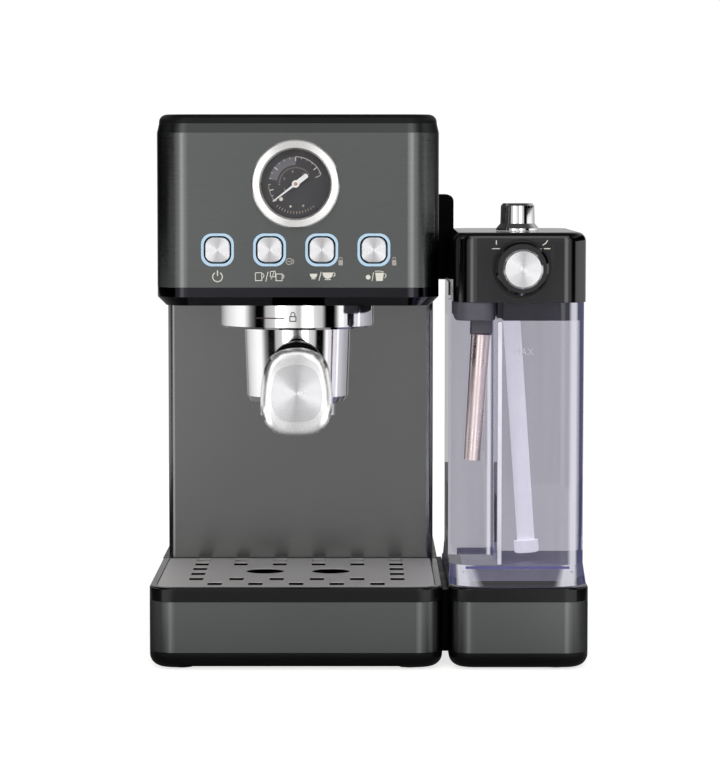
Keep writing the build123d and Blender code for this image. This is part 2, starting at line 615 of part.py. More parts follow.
def make_portafilter():
    """Portafilter in its locked position, the handle to the front and a little to the right."""
    cx, cy = MAIN_X, GROUP_Y
    turn = Pos(cx, cy) * Rot(0, 0, LOCK_TURN) * Pos(-cx, -cy)
    outer, inner = 31.0, 26.6
    low = 145.8
    bowl_floor = 152.0
    bowl_top = RIM_Z - 0.8
    points = [
        (0, low), (23.5, low), (27.4, low + 1.3), (29.2, low + 4.4), (outer, bowl_top),
        (27.0, bowl_top), (inner, bowl_floor + 4.0), (inner - 5, bowl_floor), (0, bowl_floor),
    ]
    bowl = turned(points, cx, cy)
    ears = Box(2 * EAR_RADIUS, 24.0, 3.0) & Cylinder(EAR_RADIUS, 3.0)
    ears -= Cylinder(outer - 1.0, 3.0)
    ears_z = 197.6
    bowl += Pos(cx, cy, ears_z) * ears
    bowl -= disc(cx, cy, 140, 160, 4.5)
    neck_z = 168.4
    socket_y = cy - outer - 5.0
    bowl += rod_y(cx, neck_z, socket_y, cy - outer + 4.0, 12.0) - disc(cx, cy, 140, 220, inner)
    keep("portafilter_bowl", turn * bowl)

    wall = 0.8
    floor_z = 174.0
    side = BASKET_RADIUS + wall / 2
    basket_points = [
        (0, floor_z), (22.5, floor_z), (side, floor_z + 4.0), (side, bowl_top),
        (29.8, bowl_top), (29.8, RIM_Z), (side - wall, RIM_Z),
        (side - wall, floor_z + 4.3), (22.2, floor_z + wall), (0, floor_z + wall),
    ]
    keep("filter_basket", turned(basket_points, cx, cy))

    # Twin spout: a cross bar under the bowl with two outlets.
    bar_low = 138.6
    bar = Pos(cx, cy, bar_low) * extrude(RectangleRounded(43.4, 19.0, 9.4), amount=low - bar_low)
    outlet = 9.3
    for side in (-1, 1):
        bar += disc(cx + side * outlet, cy, 132.5, bar_low + 0.5, 5.2)
    bar -= Pos(cx, cy, bar_low + 2.5) * Box(2 * outlet, 7.0, 3.0)
    for side in (-1, 1):
        bar -= disc(cx + side * outlet, cy, 120, bar_low + 4.0, 3.5)
    bar -= disc(cx, cy, bar_low + 2.5, 150, 4.5)
    keep("portafilter_spout", turn * bar)

    # Handle: collar, tapering grip and a flat-ended cap, dropping slightly to the front.
    tip = -DEPTH / 2 + CAP_ALLOWANCE
    cap_z = 161.4
    cap_back = tip + 15.0
    collar_front = socket_y - 17.0

    def height(y):
        return neck_z + (cap_z - neck_z) * (y - socket_y) / (tip - socket_y)

    collar = rod_y(cx, neck_z, collar_front, socket_y, 15.2)
    collar = fillet(collar.edges().filter_by(GeomType.CIRCLE), 2.0)
    keep("handle_collar", turn * collar)

    def section(y, width, tall, corner):
        here = Plane(origin=(cx, y, height(y)), x_dir=(1, 0, 0), z_dir=(0, -1, 0))
        return here * RectangleRounded(width, tall, corner)

    grip = loft([
        section(collar_front, 23.0, 23.0, 11.2),
        section(collar_front - 22.0, 27.0, 29.0, 12.5),
        section(cap_back + 18.0, 31.5, 38.0, 14.0),
        section(cap_back, 33.0, 41.0, 14.5),
    ])
    keep("portafilter_handle", turn * grip)
    badge_width, badge_height = 26.5, 30.0
    badge_z = cap_z - 0.3
    recess = 0.8
    shadow_gap = 0.4
    cap = cap_pad(cx, cap_z, tip, cap_back, 38.6, 46.5)
    cap = fillet(cap.faces().sort_by(Axis.Y)[0].edges(), 4.6)
    cap -= cap_pad(
        cx, badge_z, tip - 1, tip + recess, badge_width + shadow_gap, badge_height + shadow_gap
    )
    keep("handle_cap", turn * cap)
    keep("handle_badge", turn * cap_pad(cx, badge_z, tip + 0.3, tip + recess, badge_width, badge_height))


# ---------------------------------------------------------------- milk side
def notch(grow, z0, z1, corner):
    """Front left corner that is left out of the tank for the spout."""
    return block(
        TANK_LEFT - 20, NOTCH_RIGHT + grow, TANK_FRONT - 20, NOTCH_REAR + grow, z0, z1, 0, corner
    )


def make_milk_tank():
    gap = 0.15
    plinth_top = 58.0
    z0 = TANK_FOOT
    outline = plan(TANK_LEFT, TANK_RIGHT, TANK_FRONT, TANK_REAR, TANK_CORNER, TANK_CORNER)
    body = Pos(0, 0, TANK_FLOOR) * extrude(outline, amount=TANK_TOP - TANK_FLOOR)
    body -= notch(0.0, plinth_top, 400, 7.0)
    foot = plan(TANK_LEFT - 1.0, TANK_RIGHT + 1.5, FRONT + 3.2, TANK_REAR + 1.5, 20.0, 15.0)
    body += loft([Pos(0, 0, z0) * foot, Pos(0, 0, plinth_top) * outline])
    w = TANK_WALL
    x0, x1 = TANK_LEFT + w, TANK_RIGHT - w
    y0, y1 = TANK_FRONT + w, TANK_REAR - w
    inner = block(x0, x1, y0, y1, plinth_top + 0.6, 400, TANK_CORNER - w, TANK_CORNER - w)
    inner -= notch(w, 0, 500, 7.0 + w)
    grip_y0, grip_y1 = NOTCH_REAR + 10.0, TANK_REAR - 17.0
    body += block(TANK_LEFT, TANK_LEFT + w, grip_y0, grip_y1, TANK_TOP - 1, GRIP_TOP)
    body -= inner
    keep("milk_tank", body)

    # Lid: glossy shell that sits on the tank's edge, cut away over the grip.
    z_low = TANK_TOP + gap
    left, right = TANK_LEFT + 1.5, TANK_RIGHT + 0.8
    lid = block(left, right, TANK_FRONT, TANK_REAR, z_low, LID_TOP, 13.0, 13.0)
    lid = fillet(top_edges(lid), 5.0)
    shell = 2.2
    lid -= block(
        left + shell, right - shell, TANK_FRONT + shell, TANK_REAR - shell,
        0, LID_TOP - 7.0, 10.8, 10.8,
    )
    rib = 9.0
    lid -= block(left + rib, right - rib, TANK_FRONT + rib, TANK_REAR - rib, 0, LID_TOP - 2.4, 5, 5)
    lid -= block(TANK_LEFT - 5, TANK_LEFT + w + 0.3, grip_y0 - 0.4, grip_y1 + 0.4, 0, GRIP_TOP + 0.3)
    lid -= rod_y(KNOB_X, KNOB_Z, TANK_FRONT - 5, TANK_FRONT + 5, 3.05)
    lid -= disc(KNOB_X, LEVER_Y, LID_TOP - 6, LID_TOP + 2, 3.05)
    lid -= rod_y(PORT_X, PORT_Z, TANK_REAR - 5, TANK_REAR + 2, 5.0)
    keep("milk_lid", lid)

    # Plug under the lid: a ring that fits inside the tank's mouth, and the spout's housing
    # over the recess.
    z_plug = 195.6
    fit = 0.5
    ring = block(
        x0 + fit, x1 - fit, y0 + fit, y1 - fit, z_plug, z_low, TANK_CORNER - w - fit, TANK_CORNER - w - fit
    )
    ring -= notch(w + fit, 0, 500, 10.0)
    ring_hole = block(x0 + 3, x1 - 3, y0 + 3, y1 - 3, 0, z_low + 0.1, 6, 6) - notch(w + 3, 0, 500, 10.0)
    ring -= ring_hole
    edge = shell + 0.4
    plate = block(
        left + edge, right - edge, TANK_FRONT + edge, TANK_REAR - edge, z_low, z_low + 1.2, 10.2, 10.2
    )
    housing = block(
        left + 1.2, NOTCH_RIGHT - 0.8, TANK_FRONT + 1.0, NOTCH_REAR - 0.8, z_plug, z_low, 9.0, 5.0
    )
    housing = fillet(housing.edges().filter_by(Axis.Y).group_by(Axis.Z)[0], 0.8)
    lug_half, lug_drop, lug_thick = 5.9, 3.4, 2.0
    for y in (SPOUT_Y - 10.0, SPOUT_Y + 8.0):
        housing += block(
            SPOUT_X - lug_half, SPOUT_X + lug_half, y, y + lug_thick, SPOUT_Z - lug_drop, z_plug + 1
        )
    pin = rod_y(SPOUT_X, SPOUT_Z, SPOUT_Y - 9.0, SPOUT_Y + 9.0, 1.5)
    plug = ring + plate + housing + pin
    plug -= disc(SPOUT_X, SPOUT_Y, z_plug - 1, z_low + 5, 3.0)
    plug -= disc(STRAW_X, LEVER_Y + 8, 100, 400, 5.4)
    keep("lid_plug", plug)

    chamber_z0, chamber_z1 = z_low + 1.2, 238.0
    chamber = block(62.0, 98.0, TANK_FRONT + 6.0, -26.0, chamber_z0, chamber_z1, 6, 6)
    chamber -= block(65.0, 95.0, TANK_FRONT + 9.0, -29.0, chamber_z0 + 3.0, chamber_z1 - 3.0, 3, 3)
    chamber -= rod_y(KNOB_X, KNOB_Z, TANK_FRONT, TANK_FRONT + 16, 3.05)
    chamber -= disc(KNOB_X, LEVER_Y, chamber_z1 - 6, LID_TOP, 3.05)
    chamber -= disc(STRAW_X, LEVER_Y + 8, chamber_z0 - 1, chamber_z0 + 4, 5.4)
    chamber -= disc(SPOUT_X + 2.0, SPOUT_Y, chamber_z0 - 1, chamber_z0 + 4, 1.5)
    chamber += rod_y(PORT_X, PORT_Z, -26.0, TANK_REAR, 5.0)
    chamber -= rod_y(PORT_X, PORT_Z, -40, TANK_REAR + 1, 3.2)
    keep("froth_chamber", chamber)


def make_milk_fittings():
    """Suction straw, milk spout, froth knob and the lever on the lid."""
    top_x, top_z = STRAW_X, TANK_TOP + 4.0
    foot_x, foot_z = KNOB_X + 5.0, 67.6
    y = LEVER_Y + 8
    lean = math.degrees(math.atan2(foot_x - top_x, top_z - foot_z))
    length = math.hypot(foot_x - top_x, top_z - foot_z)
    foot_height = 7.0
    straw = Pos(0, 0, -length / 2) * Cylinder(5.0, length)
    straw += Pos(0, 0, -length - foot_height / 2) * Cylinder(7.0, foot_height)
    straw = fillet(bottom_edges(straw), 1.2)
    straw -= Cylinder(3.6, 3 * length)
    straw = Pos(top_x, y, top_z) * Rot(0, -lean, 0) * straw
    straw &= block(0, 200, -100, 100, 0, TANK_TOP + 1.3)
    keep("milk_straw", straw)

    # Spout: a connector on its pin and a steel tube, hanging a little to the left.
    hang = Pos(SPOUT_X, SPOUT_Y, SPOUT_Z) * Rot(0, SPOUT_TILT, 0)
    collar = 4.6
    socket = 2.6
    tube_top, tube_tip, bore = 5.5, 4.7, 3.9
    connector = Rot(90, 0, 0) * Cylinder(PIVOT_RADIUS, 15.4)
    connector += Pos(0, 0, -collar / 2) * Cylinder(6.3, collar)
    connector -= Rot(90, 0, 0) * Cylinder(1.56, 40.0)
    connector -= Pos(0, 0, -(socket + collar) / 2 - 0.5) * Cylinder(tube_top, collar - socket + 1.0)
    keep("spout_connector", hang * connector)
    reach = SPOUT_Z - 115.4
    tube = Pos(0, 0, -(reach + socket) / 2) * Cone(tube_tip, tube_top, reach - socket)
    tube -= Cylinder(bore, 2 * SPOUT_Z)
    keep("milk_spout", hang * tube)

    face = TANK_FRONT
    step = face - 7.6
    tip = face - 17.8
    skirt_points = [(0, step), (13.6, step), (15.0, step + 2.1), (15.0, face - 0.3), (0, face - 0.3)]
    skirt = turned_y(skirt_points, KNOB_X, KNOB_Z)
    skirt += rod_y(KNOB_X, KNOB_Z, face - 0.4, face + 12.0, 3.0)
    keep("froth_knob", skirt)
    cap_points = [(0, tip), (10.0, tip), (11.0, tip + 1.4), (10.6, step), (0, step)]
    keep("froth_knob_cap", turned_y(cap_points, KNOB_X, KNOB_Z))

    base = LID_TOP + 0.3
    high = base + 15.5
    lever_points = [
        (0, base), (12.3, base), (12.3, base + 1.2), (9.9, base + 4.0), (9.6, high - 1.4), (8.4, high), (0, high)
    ]
    lever = turned(lever_points, KNOB_X, LEVER_Y)
    lever += disc(KNOB_X, LEVER_Y, 233.5, base + 0.5, 3.0)
    keep("spout_lever", lever)


def make_water_tank():
    """Lift-out water tank in the rear bay, and its hinged lid."""
    x0, x1 = BODY_LEFT + 3.4, BODY_RIGHT - 3.4
    y0, y1 = BAY_Y + WALL + 0.4, REAR - 1.0
    z0, z1 = Z_DECK + 9.3, Z_COVER
    corner = CORNER - 1.0
    wall = 2.5
    tank = block(x0, x1, y0, y1, z0, z1, 1.0, corner)
    tank -= block(x0 + wall, x1 - wall, y0 + wall, y1 - wall, z0 + wall, z1 + 1, 0.5, corner - wall)
    tank -= disc(*SUCTION_TOP, z0 - 1, z0 + 5, 4.0)
    keep("water_tank", tank)

    # Lid: a slab with a full-round front edge, which it turns about, hollow underneath.
    left, right = BODY_LEFT + 1.2, BODY_RIGHT - 1.2
    low = Z_COVER + 0.3
    edge_radius = (HEIGHT - low) / 2
    hinge_y = BAY_Y + 0.4 + edge_radius
    cap = block(left, right, hinge_y, y1, low, HEIGHT, 0, corner)
    rounded = [e for e in top_edges(cap) if e.center().Y > hinge_y + 1.0]
    cap = fillet(rounded, 4.0)
    cap += rod_x(hinge_y, low + edge_radius, left, right, edge_radius)
    rib = 9.0
    cap -= block(left + rib, right - rib, y0 + rib, y1 - rib, 0, HEIGHT - 2.0, 5.0, 5.0)
    keep("water_tank_lid", cap)


make_base()
make_tray()
make_column()
make_head()
make_gauge()
make_buttons()
make_group()
make_water_path()
make_portafilter()
make_milk_tank()
make_milk_fittings()
make_water_tank()

os.makedirs("parts", exist_ok=True)
for name, solid in NODES.items():
    export_step(solid, f"parts/{name}.step")
print(len(NODES), "nodes")
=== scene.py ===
import math
import bpy
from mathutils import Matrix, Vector


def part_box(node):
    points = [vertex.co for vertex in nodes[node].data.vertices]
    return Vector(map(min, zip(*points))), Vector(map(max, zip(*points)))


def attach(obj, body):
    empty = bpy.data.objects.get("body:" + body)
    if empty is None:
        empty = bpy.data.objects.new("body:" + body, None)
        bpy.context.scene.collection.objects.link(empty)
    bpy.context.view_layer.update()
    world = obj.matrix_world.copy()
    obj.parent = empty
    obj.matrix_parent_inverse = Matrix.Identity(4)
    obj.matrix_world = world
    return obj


# Espresso machine with a side milk tank: materials, printed marks, light and camera.
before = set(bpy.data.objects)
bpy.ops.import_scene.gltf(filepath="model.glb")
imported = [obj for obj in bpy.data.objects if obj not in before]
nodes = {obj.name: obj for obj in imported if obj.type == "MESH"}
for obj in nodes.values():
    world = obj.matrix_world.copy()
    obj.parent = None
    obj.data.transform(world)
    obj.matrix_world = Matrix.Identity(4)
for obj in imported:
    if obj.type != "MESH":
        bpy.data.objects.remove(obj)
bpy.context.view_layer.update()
scene = bpy.context.scene
scene.view_settings.view_transform = "Standard"
MM = 0.001


def span(node):
    """Lowest and highest corner of a CAD node, in millimetres."""
    low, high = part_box(node)
    return [c / MM for c in low], [c / MM for c in high]


# ---------------------------------------------------------------- materials
# How far a noise is squeezed along X, Y and Z: the direction of the grain or the streaks.
HORIZONTAL = (30.0, 30.0, 6000.0)
ALL_ROUND = (900.0, 900.0, 900.0)
UPRIGHT = (60.0, 60.0, 4.0)


class Nodes:
    """A node tree with short ways to add and join nodes."""

    def __init__(self, tree):
        self.tree = tree

    def add(self, kind, **values):
        node = self.tree.nodes.new(kind)
        for key, value in values.items():
            setattr(node, key, value)
        return node

    def join(self, source, target):
        self.tree.links.new(source, target)

    def math(self, operation, a, b):
        node = self.add("ShaderNodeMath", operation=operation)
        for socket, value in zip(node.inputs, (a, b)):
            if isinstance(value, (int, float)):
                socket.default_value = value
            else:
                self.join(value, socket)
        return node.outputs[0]

    def mix_shaders(self, factor, first, second):
        node = self.add("ShaderNodeMixShader")
        self.join(factor, node.inputs["Fac"])
        self.join(first, node.inputs[1])
        self.join(second, node.inputs[2])
        return node.outputs["Shader"]


class Graph(Nodes):
    """A material's nodes, with what its surface needs."""

    def __init__(self, name):
        self.material = bpy.data.materials.new(name)
        self.material.use_nodes = True
        super().__init__(self.material.node_tree)
        self.shader = self.tree.nodes["Principled BSDF"]
        self.output = self.tree.nodes["Material Output"]
        self.position = self.add("ShaderNodeTexCoord").outputs["Object"]

    def stretched(self, scale):
        mapping = self.add("ShaderNodeMapping")
        mapping.inputs["Scale"].default_value = scale
        self.join(self.position, mapping.inputs["Vector"])
        return mapping.outputs["Vector"]

    def noise(self, scale, detail=3.0, rough=0.55, vector=None):
        node = self.add("ShaderNodeTexNoise")
        node.inputs["Scale"].default_value = scale
        node.inputs["Detail"].default_value = detail
        node.inputs["Roughness"].default_value = rough
        self.join(vector or self.position, node.inputs["Vector"])
        return node.outputs["Fac"]

    def span(self, value, low, high, start=0.3, end=0.7):
        """The value's stretch from start to end, spread over low to high. A noise fills 0.3 to 0.7."""
        node = self.add("ShaderNodeMapRange")
        node.inputs["From Min"].default_value = start
        node.inputs["From Max"].default_value = end
        node.inputs["To Min"].default_value = low
        node.inputs["To Max"].default_value = high
        self.join(value, node.inputs["Value"])
        return node.outputs["Result"]

    def emission(self, strength, colour=(1, 1, 1)):
        node = self.add("ShaderNodeEmission")
        node.inputs["Color"].default_value = (*colour, 1)
        node.inputs["Strength"].default_value = strength
        return node

    def colours(self, value, low, high):
        node = self.add("ShaderNodeMix", data_type="RGBA")
        node.inputs["A"].default_value = (*low, 1)
        node.inputs["B"].default_value = (*high, 1)
        self.join(self.span(value, 0.0, 1.0), node.inputs["Factor"])
        return node.outputs["Result"]

    def bump(self, height, strength, distance):
        node = self.add("ShaderNodeBump")
        node.inputs["Strength"].default_value = strength
        node.inputs["Distance"].default_value = distance
        self.join(height, node.inputs["Height"])
        self.join(node.outputs["Normal"], self.shader.inputs["Normal"])
        return node

    def soft_edges(self, bump_node, radius):
        """Slightly rounded edges, as on a moulding."""
        if not radius:
            return
        node = self.add("ShaderNodeBevel", samples=4)
        node.inputs["Radius"].default_value = radius
        self.join(node.outputs["Normal"], bump_node.inputs["Normal"])

    def tangent(self, axis):
        node = self.add("ShaderNodeTangent", direction_type="RADIAL", axis=axis)
        self.join(node.outputs["Tangent"], self.shader.inputs["Tangent"])

    def set(self, **values):
        for key, value in values.items():
            self.shader.inputs[key.replace("_", " ")].default_value = value


def shade(*levels):
    """Linear colour from 8-bit screen levels."""
    out = []
    for level in levels:
        c = level / 255
        out.append(c / 12.92 if c <= 0.04045 else ((c + 0.055) / 1.055) ** 2.4)
    return tuple(out)


def scaled(colour, factor):
    return tuple(min(1.0, c * factor) for c in colour)


def set_stops(ramp, stops):
    """Grey levels at places from 0 to 1 along a colour ramp."""
    elements = ramp.color_ramp.elements
    while len(elements) < len(stops):
        elements.new(0.5)
    for element, (place, level) in zip(elements, stops):
        element.position = place
        element.color = (level, level, level, 1)


def plastic(name, colour, roughness, grain=0.00018, edge=0.0004, spread=0.07, shine=0.25, glow=0.0):
    """Moulded plastic: fine spark texture, cloudy gloss and softened edges."""
    g = Graph(name)
    cloud = g.noise(28.0, 4.0)
    g.join(g.colours(cloud, scaled(colour, 0.85), scaled(colour, 1.18)), g.shader.inputs["Base Color"])
    g.join(g.span(g.noise(60.0, 5.0), roughness - spread, roughness + spread), g.shader.inputs["Roughness"])
    g.soft_edges(g.bump(g.noise(2600.0, 2.0), 0.12, grain), edge)
    g.set(Specular_IOR_Level=shine)
    # glow is painted light: the part gives off light of its own, though it is no lamp.
    if glow:
        g.set(Emission_Color=(*colour, 1), Emission_Strength=glow)
    return g.material


def brushed(
    name, colour, roughness, lines, axis="Z", anisotropic=0.6, contrast=0.05, edge=0.0003,
    metallic=1.0, rim=1.0,
):
    """Brushed sheet metal. lines stretches the grain, anisotropy spreads the reflections across it."""
    g = Graph(name)
    depth = 0.00001
    grain = g.noise(1.0, 4.0, 0.7, g.stretched(lines))
    fine = g.noise(2.3, 2.0, 0.6, g.stretched(lines))
    cloud = g.noise(16.0, 3.0)
    tone = g.math("ADD", g.math("MULTIPLY", grain, 0.75), g.math("MULTIPLY", cloud, 0.25))
    g.join(
        g.colours(tone, scaled(colour, 1 - contrast), scaled(colour, 1 + contrast)),
        g.shader.inputs["Base Color"],
    )
    g.join(g.span(fine, roughness - 0.05, roughness + 0.05), g.shader.inputs["Roughness"])
    g.soft_edges(g.bump(grain, 0.25, depth), edge)
    g.tangent(axis)
    g.set(Metallic=metallic, Anisotropic=anisotropic, Anisotropic_Rotation=0.25)
    g.set(Specular_Tint=(rim, rim, rim, 1))
    return g.material


def spun(name, colour, roughness):
    """Turned end face: rings round the middle, so reflections open into a fan."""
    g = Graph(name)
    contrast = 0.06
    mapping = g.add("ShaderNodeMapping")
    mapping.inputs["Location"].default_value = (-0.5, -0.5, -0.5)
    g.join(g.add("ShaderNodeTexCoord").outputs["Generated"], mapping.inputs["Vector"])
    wave = g.add("ShaderNodeTexWave", wave_type="RINGS", rings_direction="SPHERICAL")
    wave.inputs["Scale"].default_value = 14.0
    wave.inputs["Distortion"].default_value = 1.5
    g.join(mapping.outputs["Vector"], wave.inputs["Vector"])
    rings = wave.outputs["Fac"]
    cloud = g.noise(90.0, 3.0)
    tone = g.math("ADD", g.math("MULTIPLY", rings, 0.25), g.math("MULTIPLY", cloud, 0.75))
    g.join(
        g.colours(tone, scaled(colour, 1 - contrast), scaled(colour, 1 + contrast)),
        g.shader.inputs["Base Color"],
    )
    g.join(g.span(cloud, roughness - 0.03, roughness + 0.03), g.shader.inputs["Roughness"])
    g.bump(rings, 0.03, 0.00001)
    g.tangent("Y")
    g.set(Metallic=1.0, Anisotropic=0.95, Anisotropic_Rotation=0.25)
    return g.material


def polished(name, colour, roughness, edge=0.0003, wave=0.0001):
    """Plated metal with faint smears and a very slight waviness."""
    g = Graph(name)
    smear = g.noise(45.0, 5.0, 0.65)
    g.join(g.colours(smear, scaled(colour, 0.95), colour), g.shader.inputs["Base Color"])
    g.join(g.span(smear, roughness * 0.6, roughness * 1.7), g.shader.inputs["Roughness"])
    g.soft_edges(g.bump(g.noise(110.0, 2.0), 0.05, wave), edge)
    g.set(Metallic=1.0)
    return g.material


def clear(name, colour, roughness, ior, through, depth=0.00008, rim=None):
    """Clear moulded plastic with faint upright flow streaks.

    Shadow and glossy rays pass straight through it, dimmed by the colour through, so the lamps
    light what is inside. rim is the colour and strength of a painted light line and of a painted
    tinted line, emitted on rounded corners where they turn away from view; they stand for what
    thick clear plastic shows there.
    """
    g = Graph(name)
    flow = g.noise(1.0, 3.0, 0.5, g.stretched(UPRIGHT))
    g.join(g.colours(flow, scaled(colour, 0.8), scaled(colour, 1.15)), g.shader.inputs["Base Color"])
    g.join(g.span(flow, roughness * 0.6, roughness * 1.6), g.shader.inputs["Roughness"])
    g.bump(flow, 0.2, depth)
    g.set(Transmission_Weight=1.0, IOR=ior)
    surface = g.shader.outputs["BSDF"]

    # Painted light and shade: emitted light and tinted lines on rounded corners stand for what thick clear
    # plastic shows there.
    if rim:
        facing = g.add("ShaderNodeLayerWeight").outputs["Facing"]
        front = g.math("SUBTRACT", 1.0, g.add("ShaderNodeNewGeometry").outputs["Backfacing"])
        # Flat walls face straight along X or Y, so only rounded corners have both parts.
        normal = g.add("ShaderNodeSeparateXYZ")
        g.join(g.add("ShaderNodeTexCoord").outputs["Normal"], normal.inputs[0])
        both = g.math("ABSOLUTE", g.math("MULTIPLY", normal.outputs["X"], normal.outputs["Y"]), 0.0)
        corner = g.math("MULTIPLY", front, g.span(both, 0.0, 1.0, 0.03, 0.15))
        for stops, (line_colour, strength) in zip(PAINTED_RIM_LINES, rim):
            ramp = g.add("ShaderNodeValToRGB")
            set_stops(ramp, stops)
            g.join(facing, ramp.inputs["Fac"])
            line = g.emission(strength, line_colour)
            amount = g.math("MULTIPLY", ramp.outputs["Color"], corner)
            surface = g.mix_shaders(amount, surface, line.outputs["Emission"])

    open_side = g.add("ShaderNodeBsdfTransparent")
    open_side.inputs["Color"].default_value = (*through, 1)
    rays = g.add("ShaderNodeLightPath")
    passing = g.math("MAXIMUM", rays.outputs["Is Shadow Ray"], rays.outputs["Is Glossy Ray"])
    surface = g.mix_shaders(passing, surface, open_side.outputs["BSDF"])
    g.join(surface, g.output.inputs["Surface"])
    return g.material


def flat_paint(name, colour, roughness=0.5, glow=0.0):
    """Printed ink with slightly uneven coverage."""
    g = Graph(name)
    cover = g.noise(900.0, 2.0)
    g.join(g.colours(cover, scaled(colour, 0.86), colour), g.shader.inputs["Base Color"])
    g.join(g.span(cover, roughness - 0.08, roughness + 0.08), g.shader.inputs["Roughness"])
    g.bump(cover, 0.05, 0.00002)
    # glow gives off light: for the lit button rings it is their lamp, for ink it is painted light.
    if glow:
        g.set(Emission_Color=(*colour, 1), Emission_Strength=glow)
    return g.material


# Painted on rounded clear corners, where they turn away from view: strength of the painted light line, then
# of the painted tinted line.
PAINTED_RIM_LINES = (
    [(0.0, 0.0), (0.08, 0.0), (0.15, 0.75), (0.27, 0.75), (0.36, 0.0), (1.0, 0.0)],
    [(0.0, 0.0), (0.36, 0.0), (0.45, 0.65), (0.66, 0.65), (0.8, 0.1), (1.0, 0.0)],
)

mat = {
    "black_plastic": plastic("black_plastic", shade(30, 30, 31), 0.34),
    # Darker and less reflective than the other black plastic: partly the parts' own black, partly painted
    # shade.
    "deep_black_painted_shade": plastic("deep_black_painted_shade", shade(6, 6, 7), 0.4, shine=0.04),
    # Frosted plastic in its own colour, with a glow that is painted light.
    "foot_frost_glow": plastic("foot_frost_glow", shade(166, 165, 190), 0.5, glow=0.25),
    # Painted highlight for the end of the recess wall, with a glow.
    "wall_end_painted_highlight": plastic("wall_end_painted_highlight", shade(208, 207, 220), 0.4, edge=0.0, glow=0.25),
    # Painted tinted line for the tank floor's edge as seen through the clear wall.
    "painted_floor_line": plastic("painted_floor_line", shade(104, 102, 160), 0.3, edge=0.0),
    "cover_black": plastic("cover_black", shade(20, 20, 21), 0.42, shine=0.14),
    "rim_black": plastic("rim_black", shade(15, 15, 16), 0.16, 0.00008, spread=0.04, shine=0.3),
    "plug_grey": plastic("plug_grey", shade(90, 88, 97), 0.36),
    # A satin panel whose lighter grey is a painted reflection of the lid's flat face.
    "lid_panel_painted_reflection": plastic("lid_panel_painted_reflection", shade(40, 40, 42), 0.42, 0.0001, 0.0, shine=0.2),
    "gloss_black": plastic("gloss_black", shade(5, 5, 6), 0.09, 0.00003, 0.0003, 0.03, 0.8),
    "brushed_dark": brushed(
        "brushed_dark", shade(112, 114, 113), 0.30, HORIZONTAL, anisotropic=0.95, rim=0.35
    ),
    "brushed_base": brushed(
        "brushed_base", shade(114, 116, 115), 0.32, HORIZONTAL, anisotropic=0.9, rim=0.5
    ),
    "brushed_wall": brushed(
        "brushed_wall", shade(116, 117, 116), 0.21, HORIZONTAL, anisotropic=0.4, contrast=0.03
    ),
    "trim_satin": brushed("trim_satin", shade(73, 75, 74), 0.36, HORIZONTAL, rim=0.5),
    "grid_steel": brushed(
        "grid_steel", shade(240, 237, 236), 0.52, ALL_ROUND, anisotropic=0.0, metallic=0.5
    ),
    "brushed_steel": brushed("brushed_steel", shade(168, 166, 166), 0.36, ALL_ROUND, anisotropic=0.2),
    "chrome": polished("chrome", shade(246, 245, 245), 0.05, 0.0),
    "satin_silver": polished("satin_silver", shade(240, 239, 238), 0.42, 0.0),
    "black_chrome": polished("black_chrome", shade(52, 52, 56), 0.07),
    "cap_silver": brushed("cap_silver", shade(246, 245, 245), 0.24, ALL_ROUND, "Y", 0.97, edge=0.0),
    "ring_silver": brushed("ring_silver", shade(240, 238, 236), 0.30, ALL_ROUND, "Y", 0.9, edge=0.0),
    "spun_silver": spun("spun_silver", shade(222, 221, 223), 0.28),
    "milk_glass": clear(
        "milk_glass", shade(124, 121, 131), 0.02, 1.45, (0.93, 0.93, 0.95), depth=0.00003,
        # The rim lines are a painted light line and a painted tinted line on the tank's rounded corners.
        rim=((shade(228, 228, 238), 1.0), (shade(80, 80, 122), 1.0)),
    ),
    "smoke_glass": clear("smoke_glass", shade(120, 122, 126), 0.05, 1.47, (0.6, 0.6, 0.6)),
    "lens_glass": clear(
        "lens_glass", shade(250, 250, 250), 0.01, 1.45, (0.97, 0.97, 0.97), depth=0.00001
    ),
    "rubber": plastic("rubber", shade(26, 26, 26), 0.75, 0.0003),
    "aluminium": polished("aluminium", shade(190, 190, 188), 0.36),
    "circuit_board": plastic("circuit_board", shade(26, 74, 44), 0.5),
    # Painted light: the straw glows, though it is no lamp, so it stays bright seen through the tank's grey
    # wall.
    "white_plastic": plastic("white_plastic", shade(240, 240, 246), 0.32, glow=1.4),
    "light_ring": flat_paint("light_ring", shade(166, 192, 212), 0.4, 0.4),
    "dial_face": plastic("dial_face", shade(66, 65, 68), 0.45, 0.00005, 0.0, shine=0.1),
    "copper": polished("copper", shade(214, 156, 130), 0.2, 0.0),
    "tube_steel": polished("tube_steel", shade(224, 208, 210), 0.27, 0.0, wave=0.00002),
    # The white ink glows a little: painted light, it is no lamp.
    "ink_white_glow": flat_paint("ink_white_glow", shade(226, 222, 210), 0.5, 0.12),
    "ink_grey": flat_paint("ink_grey", shade(112, 110, 118), 0.5),
    "ink_mark": flat_paint("ink_mark", shade(196, 194, 204), 0.5),
    "ink_pale": flat_paint("ink_pale", shade(178, 172, 166), 0.5),
    "ink_tan": flat_paint("ink_tan", shade(196, 176, 160), 0.5),
    "ink_black": flat_paint("ink_black", shade(52, 40, 36), 0.5),
    # Near-black paint used as a painted shadow line.
    "groove_shadow": flat_paint("groove_shadow", shade(5, 5, 6), 0.55),
}

